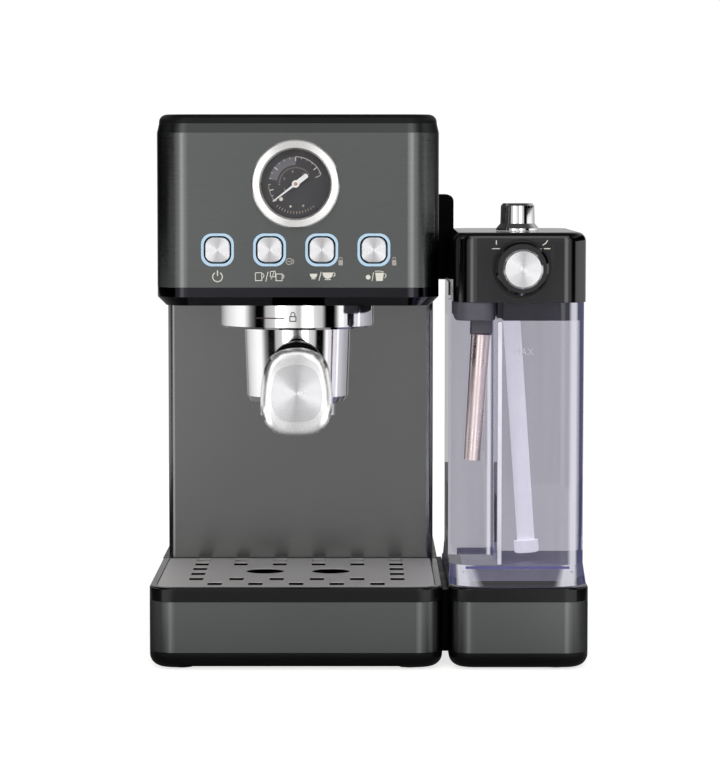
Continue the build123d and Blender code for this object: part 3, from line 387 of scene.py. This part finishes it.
finishes = {
    "black_plastic": [
        "case_screws", "rear_base_shell", "column_frame", "tank_bay", "gauge_case", "pump",
        "portafilter_handle", "froth_chamber", "water_tank_lid",
    ],
    # Painted shade: the gap between the bases, the coupler behind the lid and the collar above the cap are
    # made near-black to read as shade.
    "deep_black_painted_shade": ["base_bridge", "steam_coupler", "handle_collar"],
    "cover_black": ["top_cover"],
    "rim_black": ["drip_tray_pan", "milk_base_deck", "base_pan", "milk_base_pan"],
    "plug_grey": ["lid_plug", "spout_connector"],
    "trim_satin": ["top_trim"],
    "gloss_black": ["milk_lid", "froth_knob"],
    "black_chrome": ["head_floor"],
    "rubber": ["rubber_feet", "cord_gland", "group_gasket", "steam_seal", "water_hoses"],
    "brushed_dark": ["head_wrap"],
    "brushed_base": ["rear_base_skin", "milk_base_skin", "drip_tray_cover"],
    "brushed_wall": ["splash_panel"],
    "grid_steel": ["drip_grid"],
    "ring_silver": ["gauge_bezel"],
    "spun_silver": ["button_1", "button_2", "button_3", "button_4", "handle_badge", "froth_knob_cap"],
    "satin_silver": ["gauge_needle"],
    "brushed_steel": ["shower_screen", "filter_basket"],
    "cap_silver": ["handle_cap"],
    "chrome": ["group_ring", "portafilter_bowl", "portafilter_spout", "spout_lever"],
    "aluminium": ["boiler", "heating_element"],
    "copper": ["steam_pipe"],
    "circuit_board": ["control_board"],
    "milk_glass": ["milk_tank"],
    "smoke_glass": ["water_tank"],
    "lens_glass": ["gauge_lens"],
    "light_ring": ["button_light_rings"],
    "dial_face": ["gauge_dial"],
    "white_plastic": ["milk_straw"],
    "tube_steel": ["milk_spout"],
}

for finish, names in finishes.items():
    for name in names:
        obj = nodes[name]
        obj.data.materials.clear()
        obj.data.materials.append(mat[finish])


# ---------------------------------------------------------------- printed marks
class Marks:
    """Thin raised marks drawn in two dimensions and laid on a surface."""

    def __init__(self, place, thickness):
        self.place = place
        self.thickness = thickness
        self.verts = []
        self.faces = []

    def face(self, points):
        """One filled outline, anticlockwise as seen from outside, with its sides."""
        n = len(points)
        start = len(self.verts)
        for u, v in points:
            self.verts.append(self.place(u, v, self.thickness))
        for u, v in points:
            self.verts.append(self.place(u, v, 0.0))
        self.faces.append([start + i for i in range(n)])
        for i in range(n):
            j = (i + 1) % n
            self.faces.append([start + i, start + n + i, start + n + j, start + j])

    def stroke(self, points, width, closed=False):
        """A line of even width through the points, with mitred corners."""
        n = len(points)
        left, right = [], []
        for i, (u, v) in enumerate(points):
            before = points[i - 1] if (i or closed) else points[i]
            after = points[(i + 1) % n] if (i < n - 1 or closed) else points[i]
            a = Vector((u - before[0], v - before[1]))
            b = Vector((after[0] - u, after[1] - v))
            a = a.normalized() if a.length else b.normalized()
            b = b.normalized() if b.length else a
            along = (a + b).normalized() if (a + b).length > 1e-6 else a
            across = Vector((-along.y, along.x))
            reach = width / 2 / max(0.5, across.dot(Vector((-a.y, a.x))))
            left.append((u + across.x * reach, v + across.y * reach))
            right.append((u - across.x * reach, v - across.y * reach))
        last = n if closed else n - 1
        for i in range(last):
            j = (i + 1) % n
            self.face([right[i], right[j], left[j], left[i]])

    def dot(self, u, v, radius):
        sides = 20
        self.face(arc(u, v, radius, 0, 360 - 360 / sides, sides))

    def text(self, string, u, v, size):
        """Upright characters from Blender's own font, centred on a point."""
        curve = bpy.data.curves.new("mark_text", "FONT")
        curve.body = string
        curve.size = size
        curve.align_x = "CENTER"
        curve.align_y = "CENTER"
        curve.resolution_u = 3
        holder = bpy.data.objects.new("mark_text", curve)
        scene.collection.objects.link(holder)
        bpy.context.view_layer.update()
        depsgraph = bpy.context.evaluated_depsgraph_get()
        flat = bpy.data.meshes.new_from_object(holder.evaluated_get(depsgraph))
        for polygon in flat.polygons:
            ring = [flat.vertices[i].co for i in polygon.vertices]
            points = [(u + p.x, v + p.y) for p in ring]
            area = sum(
                points[i - 1][0] * points[i][1] - points[i][0] * points[i - 1][1]
                for i in range(len(points))
            )
            self.face(points if area > 0 else points[::-1])
        bpy.data.objects.remove(holder)
        bpy.data.curves.remove(curve)
        bpy.data.meshes.remove(flat)

    def finish(self, name, material, body, slot):
        return piece(name, self.verts, self.faces, material, body)


def arc(u, v, radius, start, end, count):
    """Points round a circle, in degrees, anticlockwise from the right."""
    out = []
    for i in range(count):
        angle = math.radians(start + (end - start) * i / (count - 1))
        out.append((u + radius * math.cos(angle), v + radius * math.sin(angle)))
    return out


def box_outline(u0, v0, u1, v1):
    return [(u0, v0), (u1, v0), (u1, v1), (u0, v1)]


def piece(name, verts, faces, material, body):
    """A mesh in millimetres that rides on a body."""
    mesh = bpy.data.meshes.new(name)
    mesh.from_pydata([tuple(c * MM for c in v) for v in verts], [], faces)
    mesh.validate()
    mesh.update()
    mesh.materials.append(mat[material])
    obj = bpy.data.objects.new(name, mesh)
    scene.collection.objects.link(obj)
    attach(obj, body)
    return obj


def front_plane(y):
    """A surface that faces the front, at the given depth."""
    return lambda u, v, depth: (u, y - depth, v)


dial_low, dial_high = span("gauge_dial")
gauge_x = (dial_low[0] + dial_high[0]) / 2
gauge_z = (dial_low[2] + dial_high[2]) / 2
dial_y = dial_low[1]
button_x = [sum(c[0] for c in span(f"button_{i}")) / 2 for i in (1, 2, 3, 4)]
panel_y = span("head_wrap")[0][1]


def on_dial(angle, radius):
    """A point on the dial, clock angle in degrees from straight up."""
    a = math.radians(angle)
    return gauge_x + radius * math.sin(a), gauge_z + radius * math.cos(a)


def make_dial_print():
    """Scale line, working band, ticks, numbers and dots, and the cap on the needle's hub."""
    white = Marks(front_plane(dial_y), 0.06)
    tan = Marks(front_plane(dial_y), 0.07)
    grey = Marks(front_plane(dial_y), 0.04)
    # Radii on the dial.
    outer = 15.2
    band = outer - 4.6
    scale_out, scale_in = 9.6, 8.8
    number_centre = 7.0
    foot_out, foot_in = 16.8, 15.4
    dots = 12.9

    # Outer scale line from low on the left over the top, hooking in on the right.
    tan.stroke([on_dial(a, outer) for a in range(-128, -89, 3)], 0.28)
    hook = [(68, 15.4), (70, 14.8), (71.5, 13.6), (72, 12.4), (71, 11.6)]
    line = [on_dial(a, outer) for a in range(0, 67, 3)] + [on_dial(a, r) for a, r in hook]
    white.stroke(line, 0.3)

    # Working band between the left and the top.
    steps = 24
    for i in range(steps):
        a0 = -80 + 80 * i / steps
        a1 = -80 + 80 * (i + 1) / steps
        grey.face([on_dial(a0, outer), on_dial(a0, band), on_dial(a1, band), on_dial(a1, outer)])

    # Ticks on the scale line, an inner scale, and its numbers.
    for index, angle in enumerate(range(-130, 66, 13)):
        long_tick = index % 4 == 2
        inner = outer - (2.4 if long_tick else 1.2)
        white.stroke([on_dial(angle, outer + 0.1), on_dial(angle, inner)], 0.46 if long_tick else 0.22)
    for angle in range(-92, 60, 8):
        tan.stroke([on_dial(angle, scale_out), on_dial(angle, scale_in)], 0.32)
    for number, angle in ((0, -118), (4, -66), (8, -14), (12, 38)):
        u, v = on_dial(angle, number_centre)
        tan.text(str(number), u, v, 1.9)

    # A row of plain ticks at the foot with two dots above it, and the needle's rest stop.
    for angle in range(142, 221, 6):
        tan.stroke([on_dial(angle, foot_out), on_dial(angle, foot_in)], 0.34)
    white.dot(*on_dial(193, dots), 0.62)
    tan.dot(*on_dial(161, dots), 0.62)
    white.dot(*on_dial(-136, 11.8), 1.1)

    hub = Marks(front_plane(span("gauge_needle")[0][1]), 0.05)
    hub.dot(gauge_x, gauge_z, 1.0)
    hub.finish("needle_hub_cap", "copper", "gauge_needle", "copper")
    white.finish("gauge_print_white", "ink_white_glow", "machine", "dial_face")
    tan.finish("gauge_print_tan", "ink_tan", "machine", "dial_face")
    grey.finish("gauge_print_band", "ink_grey", "machine", "dial_face")


def make_panel_icons():
    """The sign under each button and the three small ones beside the buttons."""
    m = Marks(front_plane(panel_y), 0.05)
    icon_z = 220.2
    small_icon_z = 228.6
    z = icon_z

    # Power sign.
    x = button_x[0]
    m.stroke(arc(x, z - 0.2, 2.7, 122, 418, 30), 0.55)
    m.stroke([(x, z + 0.4), (x, z + 3.4)], 0.6)

    def cup(x, z, w, h, handle=True):
        m.stroke([(x, z + h), (x, z), (x + w, z), (x + w, z + h), (x, z + h)], 0.42)
        if handle:
            m.stroke(arc(x + w, z + h * 0.62, h * 0.28, -80, 80, 8), 0.38)

    # One cup or two.
    x = button_x[1]
    cup(x - 8.0, z - 2.3, 3.6, 4.4)
    m.stroke([(x - 2.2, z - 2.8), (x - 0.9, z + 2.6)], 0.45)
    cup(x + 0.4, z - 0.2, 2.8, 3.0, False)
    cup(x + 3.6, z - 2.4, 3.4, 3.8)
    m.stroke([(x + 0.8, z - 1.6), (x + 2.8, z + 3.4)], 0.3)

    def bowl(x, z, r, handle):
        belly = arc(x, z + r * 0.35, r * 0.92, 180, 360, 14)
        m.face([(x - r, z + r * 0.55)] + belly + [(x + r, z + r * 0.55)])
        m.stroke([(x - r * 0.55, z - r * 0.72), (x + r * 0.55, z - r * 0.72)], 0.4)
        if handle:
            m.stroke(arc(x + r * 0.98, z + r * 0.2, r * 0.34, -85, 85, 8), 0.42)

    # Small or large milk coffee.
    x = button_x[2]
    bowl(x - 4.6, z + 0.3, 2.2, False)
    m.stroke([(x - 1.6, z - 2.4), (x - 0.3, z + 2.6)], 0.45)
    bowl(x + 3.4, z + 0.5, 3.1, True)

    # A little or a lot of milk.
    x = button_x[3]
    m.face(arc(x - 3.2, z - 0.4, 1.35, 0, 345, 22))
    m.stroke([(x - 1.0, z - 2.5), (x - 0.2, z + 2.4)], 0.42)
    m.face([(x + 1.3, z - 2.5), (x + 5.0, z - 2.5), (x + 5.6, z + 2.1), (x + 0.8, z + 2.1)])
    m.stroke([(x + 0.6, z + 2.9), (x + 3.4, z + 3.1), (x + 5.4, z + 2.6)], 0.4)
    m.stroke(arc(x + 5.5, z + 0.4, 1.3, -70, 70, 8), 0.42)

    # Small signs beside the buttons.
    fine = Marks(front_plane(panel_y), 0.05)
    z = small_icon_z
    x = button_x[1] + 10.9
    fine.stroke(arc(x, z, 1.7, 0, 340, 18), 0.5, closed=True)
    fine.stroke([(x - 1.0, z), (x + 1.0, z)], 0.5)
    fine.stroke(arc(x + 1.2, z, 1.5, -70, 70, 8), 0.42)
    for x in (button_x[2] + 10.6, button_x[3] + 11.4):
        fine.face(box_outline(x - 1.2, z - 2.2, x + 1.2, z + 0.9))
        lid = [(x - 0.9, z + 1.4), (x - 0.6, z + 2.2), (x + 0.6, z + 2.2), (x + 0.9, z + 1.4)]
        fine.stroke(lid, 0.4)
    m.finish("panel_icons", "ink_white_glow", "machine", "white_plastic")
    fine.finish("panel_small_icons", "ink_pale", "machine", "white_plastic")


def make_group_marks():
    """Lock sign and guide line printed round the group ring."""
    low, high = span("group_ring")
    cx, cy = (low[0] + high[0]) / 2, (low[1] + high[1]) / 2
    radius = (high[0] - low[0]) / 2

    def on_ring(u, v, depth):
        angle = (u - cx) / radius
        r = radius + depth
        return cx + r * math.sin(angle), cy - r * math.cos(angle), v

    m = Marks(on_ring, 0.05)
    z = low[2] + 6.6
    line_start, line_end = cx - 25.0, cx - 6.6
    count = 18
    step = (line_end - line_start) / count
    m.stroke([(line_start + step * i, z) for i in range(count + 1)], 0.7)

    lock_x = cx - 1.7
    lock_half = 1.7
    shackle = 1.1
    lock_top, shackle_top = z + 1.0, z + 2.3
    body = box_outline(lock_x - lock_half, z - 1.6, lock_x + lock_half, lock_top)
    m.stroke(body, 0.55, closed=True)
    left = [(lock_x - shackle, lock_top), (lock_x - shackle, shackle_top)]
    right = [(lock_x + shackle, lock_top)]
    m.stroke(left + arc(lock_x, shackle_top, shackle, 180, 0, 9) + right, 0.5)
    m.finish("group_marks", "ink_black", "machine", "chrome")


def make_lid_front():
    """Satin panel whose lighter grey is a painted reflection, the raised tongue round the knob with a
    painted shadow line in the channel about it, and the steam signs.
    """
    knob_low, knob_high = span("froth_knob")
    x, z = (knob_low[0] + knob_high[0]) / 2, (knob_low[2] + knob_high[2]) / 2
    lid_low, lid_high = span("milk_lid")
    face_y = lid_low[1]
    half = 17.4
    top = 238.2

    def tongue(reach):
        low = arc(x, z, half + reach, 180, 360, 48)
        return [(x - half - reach, top)] + low + [(x + half + reach, top)]

    corner = 13.0
    low_z, high_z = lid_low[2] + 0.4, lid_high[2] - 5.2
    # The panel's lighter grey stands for the flat face's reflection, painted on.
    panel = Marks(front_plane(face_y), 0.03)
    panel.face(box_outline(lid_low[0] + corner, low_z, lid_high[0] - corner, high_z))
    panel.finish("lid_front_panel", "lid_panel_painted_reflection", "milk_lid", "gloss_black")

    # Painted shadow: a black line stands for the shade in the channel round the tongue.
    groove_shadow = Marks(front_plane(face_y), 0.05)
    groove_shadow.stroke(tongue(0.0), 1.0)
    groove_shadow.finish("lid_groove_shadow", "groove_shadow", "milk_lid", "gloss_black")
    lip = Marks(front_plane(face_y), 0.12)
    lip.stroke(tongue(-0.75), 0.32)
    lip.finish("lid_tongue_edge", "gloss_black", "milk_lid", "gloss_black")
    ring = Marks(front_plane(face_y), 0.12)
    ring.stroke(arc(x, z, 16.0, 0, 354, 60), 0.9, closed=True)
    ring.finish("knob_surround", "black_plastic", "milk_lid", "black_plastic")

    # A jet over a line on each side, straight on the left and leaning on the right.
    icons = Marks(front_plane(face_y), 0.05)
    line_z = 236.0
    jet_top = 240.7
    u = x - 14.3
    icons.stroke([(u, jet_top), (u, 238.3)], 0.55)
    icons.stroke([(u - 2.8, line_z), (u + 2.9, line_z)], 0.5)
    u = x + 13.2
    icons.stroke([(u - 1.6, 237.9), (u + 0.2, 239.1), (u + 1.2, jet_top)], 0.5)
    icons.stroke([(u - 2.8, line_z), (u + 2.6, line_z)], 0.5)
    icons.finish("lid_icons", "ink_white_glow", "milk_lid", "white_plastic")


def make_tank_marks():
    """Fill mark, a painted tinted line for the edge of the tank's floor, a painted highlight on the edge of
    its recess, and its foot's frosted core, which glows.
    """
    y = span("milk_lid")[0][1]
    low, high = span("milk_tank")
    m = Marks(front_plane(y), 0.05)
    m.text("MAX", 86.6, 178.2, 5.4)
    m.finish("tank_fill_mark", "ink_mark", "milk_tank", "milk_glass")

    # Painted shade: a tinted line stands for how the floor's edge shows through the thick clear wall.
    # It lies just under the foot's upper edge, on the slope.
    edge_z = low[2] + 11.0
    run_per_drop = 0.8
    line_z = edge_z - 1.2
    line = Marks(lambda u, v, depth: (u, y - (edge_z - v) * run_per_drop - depth, v), 0.05)
    line.stroke([(low[0] + 9.5, line_z), (high[0] - 10.0, line_z)], 1.3)
    line.finish("tank_painted_floor_line", "painted_floor_line", "milk_tank", "milk_glass")

    # Painted highlight: a pale glowing strip stands for the light line the recess wall shows end on.
    wall_x = span("spout_connector")[1][0] + 3.3
    end = Marks(front_plane(y), 0.04)
    end.stroke([(wall_x, 58.4), (wall_x, high[2] - 20.5)], 2.2)
    end.finish("tank_recess_painted_highlight", "wall_end_painted_highlight", "milk_tank", "milk_glass")

    # Frosted core moulded into the foot; it glows a little, painted light that keeps it pale behind the
    # tinted wall.
    inset = 8.0
    core = Marks(lambda u, v, depth: (u, v, low[2] + 1.2 + depth), 6.6)
    core.face(box_outline(low[0] + inset, low[1] + inset, high[0] - inset, high[1] - inset))
    core.finish("tank_foot_core", "foot_frost_glow", "milk_tank", "milk_glass")


make_dial_print()
make_panel_icons()
make_group_marks()
make_lid_front()
make_tank_marks()


# ---------------------------------------------------------------- stage, light and camera
BACKDROP = 1.02        # brightness of the room where it is seen directly or through the tanks


def make_floor():
    """Pale round floor. The camera sees it white; what it throws back onto the machine is softer."""
    radius = 1.1
    sides = 96
    ring = [
        (radius * math.cos(2 * math.pi * i / sides), radius * math.sin(2 * math.pi * i / sides), 0)
        for i in range(sides)
    ]
    mesh = bpy.data.meshes.new("floor")
    mesh.from_pydata(ring, [], [list(range(sides))])
    g = Graph("floor_paint")
    cloud = g.noise(3.0, 3.0)
    g.join(g.colours(cloud, (0.86, 0.86, 0.85), (0.9, 0.9, 0.89)), g.shader.inputs["Base Color"])
    g.set(Roughness=0.8, Emission_Color=(1, 1, 0.99, 1), Emission_Strength=0.75)

    # What the machine reflects dims towards it from the front and brightens to either side.
    front_y, near_y = -0.3, -0.1
    middle_x, side_from, side_to = -0.04, 0.13, 0.24
    parts = g.add("ShaderNodeSeparateXYZ")
    g.join(g.position, parts.inputs[0])
    forward = g.span(parts.outputs["Y"], 0.75, 0.1, front_y, near_y)
    off_middle = g.math("ABSOLUTE", g.math("SUBTRACT", parts.outputs["X"], middle_x), 0.0)
    aside = g.span(off_middle, 0.8, 2.4, side_from, side_to)
    reflected = g.emission(1.0)
    g.join(g.math("MULTIPLY", forward, aside), reflected.inputs["Strength"])

    rays = g.add("ShaderNodeLightPath").outputs
    seen = g.shader.outputs["BSDF"]
    through_tank = g.emission(BACKDROP).outputs["Emission"]
    surface = g.mix_shaders(rays["Is Camera Ray"], reflected.outputs["Emission"], seen)
    surface = g.mix_shaders(rays["Is Transmission Ray"], surface, through_tank)
    g.join(surface, g.output.inputs["Surface"])
    mesh.materials.append(g.material)
    floor = bpy.data.objects.new("floor", mesh)
    scene.collection.objects.link(floor)


def make_world():
    """A white room: two bright strips beside the camera, dark gaps beyond them, pale side walls."""
    world = bpy.data.worlds.new("studio")
    scene.world = world
    world.use_nodes = True
    world.node_tree.nodes.clear()
    n = Nodes(world.node_tree)

    parts = n.add("ShaderNodeSeparateXYZ")
    n.join(n.add("ShaderNodeTexCoord").outputs["Generated"], parts.inputs[0])
    x, y, z = parts.outputs
    turn = n.math("ARCTAN2", x, n.math("MULTIPLY", y, -1.0))
    place = n.math("ADD", n.math("DIVIDE", turn, 2 * math.pi), 0.5)

    # Degrees from straight ahead of the machine (negative is its left) and brightness.
    stops = [
        (-180, 0.5), (-160, 0.5), (-150, 0.4), (-126, 0.8), (-100, 1.1), (-86, 1.1), (-74, 0.25),
        (-64, 0.0), (-51, 0.0), (-47, 0.5), (-33, 0.7), (-28, 2.4), (-20, 2.4), (-15, 1.1),
        (-3, 0.85), (0, 0.62), (5, 0.55), (9, 1.3), (14, 2.4), (20, 2.4), (26, 0.8), (38, 0.6),
        (44, 0.0), (58, 0.0), (62, 0.3), (67, 1.1), (92, 1.1), (126, 0.6), (150, 0.4), (160, 0.5),
        (180, 0.5),
    ]
    peak = max(level for degrees, level in stops)
    ramp = n.add("ShaderNodeValToRGB")
    set_stops(ramp, [(degrees / 360 + 0.5, level / peak) for degrees, level in stops])
    n.join(place, ramp.inputs["Fac"])

    # Overhead the room is darker. The lamp is what the tops reflect.
    overhead_level = 0.06 / peak
    up = n.add("ShaderNodeMapRange", interpolation_type="SMOOTHSTEP")
    up.inputs["From Min"].default_value = 0.45
    up.inputs["From Max"].default_value = 0.85
    up.inputs["To Min"].default_value = 0.0
    up.inputs["To Max"].default_value = 1.0
    n.join(z, up.inputs["Value"])
    blend = n.add("ShaderNodeMix", data_type="RGBA")
    blend.inputs["B"].default_value = (overhead_level, overhead_level, overhead_level, 1)
    n.join(up.outputs["Result"], blend.inputs["Factor"])
    n.join(ramp.outputs["Color"], blend.inputs["A"])

    lit = n.add("ShaderNodeBackground")
    n.join(blend.outputs["Result"], lit.inputs["Color"])
    lit.inputs["Strength"].default_value = peak
    seen = n.add("ShaderNodeBackground")
    seen.inputs["Color"].default_value = (1, 1, 1, 1)
    seen.inputs["Strength"].default_value = BACKDROP
    rays = n.add("ShaderNodeLightPath").outputs
    direct = n.math("MAXIMUM", rays["Is Camera Ray"], rays["Is Transmission Ray"])
    surface = n.mix_shaders(direct, lit.outputs["Background"], seen.outputs["Background"])
    n.join(surface, n.add("ShaderNodeOutputWorld").inputs["Surface"])


def make_lamp():
    """One wide soft lamp above and in front of the machine."""
    light = bpy.data.lights.new("overhead_front", "AREA")
    light.shape = "RECTANGLE"
    light.size = 1.4
    light.size_y = 0.9
    light.energy = 4.8
    lamp = bpy.data.objects.new("overhead_front", light)
    place = Vector((0.0, -0.9, 1.5))
    target = Vector((0.0, 0.0, 0.1))
    lamp.location = place
    lamp.rotation_euler = (target - place).to_track_quat("-Z", "Y").to_euler()
    lamp.visible_camera = False
    scene.collection.objects.link(lamp)


def flag(name, x, z_low, z_high, y_front):
    """Black card beside the machine, out of the camera's sight, that keeps its corners dark."""
    y_rear = 260.0
    mesh = bpy.data.meshes.new(name)
    corners = [(x, y_front, z_low), (x, y_rear, z_low), (x, y_rear, z_high), (x, y_front, z_high)]
    mesh.from_pydata([tuple(c * MM for c in corner) for corner in corners], [], [(0, 1, 2, 3)])
    g = Graph(name)
    g.set(Roughness=0.9, Specular_IOR_Level=0.0)
    g.shader.inputs["Base Color"].default_value = (0.004, 0.004, 0.004, 1)
    mesh.materials.append(g.material)
    card = bpy.data.objects.new(name, mesh)
    card.visible_camera = False
    card.visible_diffuse = False
    card.visible_shadow = False
    scene.collection.objects.link(card)


def make_camera():
    """A long lens level with the head, looking slightly down, as in the photograph."""
    data = bpy.data.cameras.new("camera")
    data.sensor_width = 36.0
    data.lens = 138.28425
    data.clip_start = 0.05
    data.clip_end = 30.0
    camera = bpy.data.objects.new("camera", data)
    camera.location = (-0.0049, -1.7705, 0.27981)
    tilt_down = 4.204
    camera.rotation_euler = (math.radians(90 - tilt_down), 0, 0)
    scene.collection.objects.link(camera)
    scene.camera = camera


make_floor()
make_world()
make_lamp()
flag("flag_left", x=-330.0, z_low=196.0, z_high=420.0, y_front=-235.0)
flag("flag_right", x=330.0, z_low=262.0, z_high=420.0, y_front=-250.0)
flag("flag_base_left", x=-330.0, z_low=1.0, z_high=70.0, y_front=-216.0)
flag("flag_base_right", x=330.0, z_low=1.0, z_high=70.0, y_front=-216.0)
make_camera()
